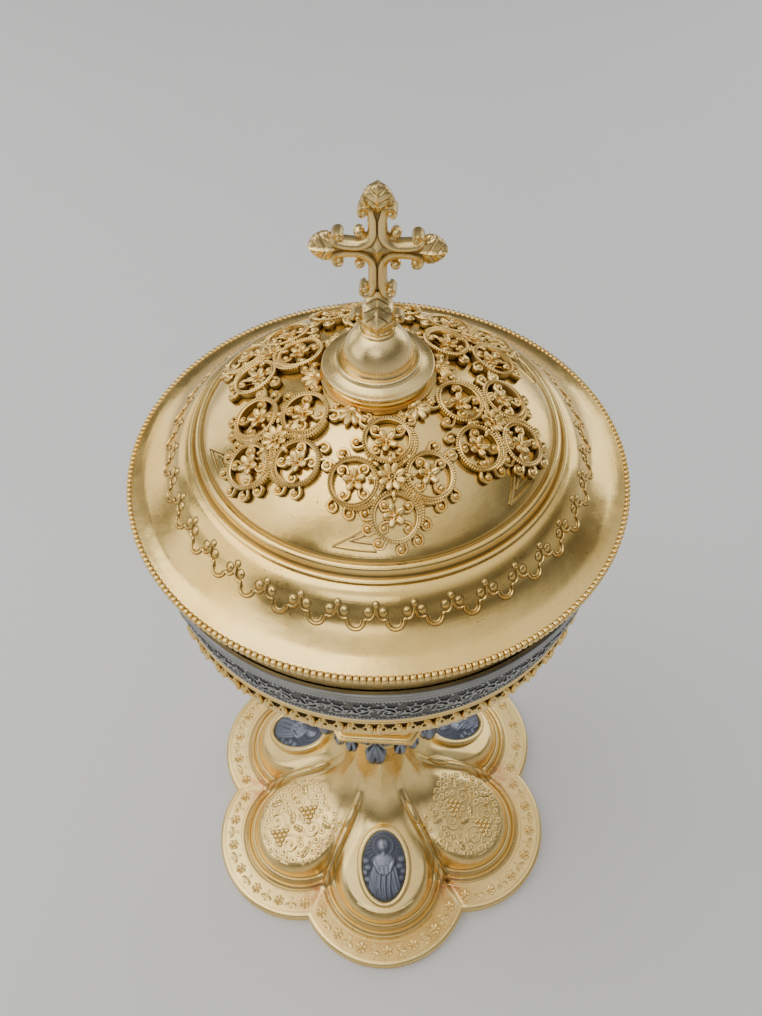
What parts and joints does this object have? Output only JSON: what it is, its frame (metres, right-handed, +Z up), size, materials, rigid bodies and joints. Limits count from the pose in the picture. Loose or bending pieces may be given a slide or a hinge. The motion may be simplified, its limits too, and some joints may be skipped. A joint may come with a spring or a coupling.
{
  "type": "ciborium",
  "caption": "Covered footed cup in gilt metal and silver, with a lobed foot, a knop, a hemispherical bowl, and a domed lid with filigree panels and a cross.",
  "frame": {"origin": "centre of the foot's underside, on the plane it stands on, on the axis of the stem", "axes": "+Z up the stem towards the cross, -Y out of the front lobe of the foot, which carries the front medallion"},
  "size_m": [0.1316, 0.1416, 0.2832],
  "materials": {
    "gilt": "polished gilding",
    "cast_gilt": "gilt casting, darker in its recesses",
    "satin_gilt": "satin gilding",
    "silver": "darkened silver with relief and engraving",
    "screw_steel": "plain turned steel"
  },
  "bodies": {
    "cup": {"foot_shell": "gilt", "foot_base_band": "gilt", "medallion_bezel_front": "gilt", "medallion_bezel_left": "gilt", "medallion_bezel_right": "gilt", "stem_foot_collar": "gilt", "stem_lower": "gilt", "stem_upper": "gilt", "bowl_collar": "gilt", "knop_plate": "gilt", "knop_upper": "gilt", "knop_lower": "gilt", "bowl_cup": "gilt", "bowl_gallery": "cast_gilt", "bowl_band": "silver", "medallion_front": "silver", "medallion_left": "silver", "medallion_right": "silver", "knop_crocket_1": "silver", "knop_crocket_2": "silver", "knop_crocket_3": "silver", "knop_crocket_4": "silver", "knop_crocket_5": "silver", "knop_crocket_6": "silver", "tie_rod": "screw_steel", "tie_washer": "screw_steel", "tie_nut": "screw_steel"},
    "lid": {"lid_shell": "gilt", "lid_rim": "cast_gilt", "lid_bezel": "gilt", "palmette_plate": "cast_gilt", "finial_ring": "gilt", "finial_base": "satin_gilt", "finial_stud": "screw_steel", "finial_nut": "screw_steel", "cross": "cast_gilt", "filigree_panel_1": "cast_gilt", "filigree_panel_2": "cast_gilt", "filigree_panel_3": "cast_gilt", "filigree_panel_4": "cast_gilt", "filigree_panel_5": "cast_gilt", "filigree_panel_6": "cast_gilt"}
  },
  "joints": [
    {"name": "lid_lift", "type": "slide", "parent": "cup", "child": "lid", "axis": [0, 0, 1], "range_m": [0, 0.08]}
  ]
}
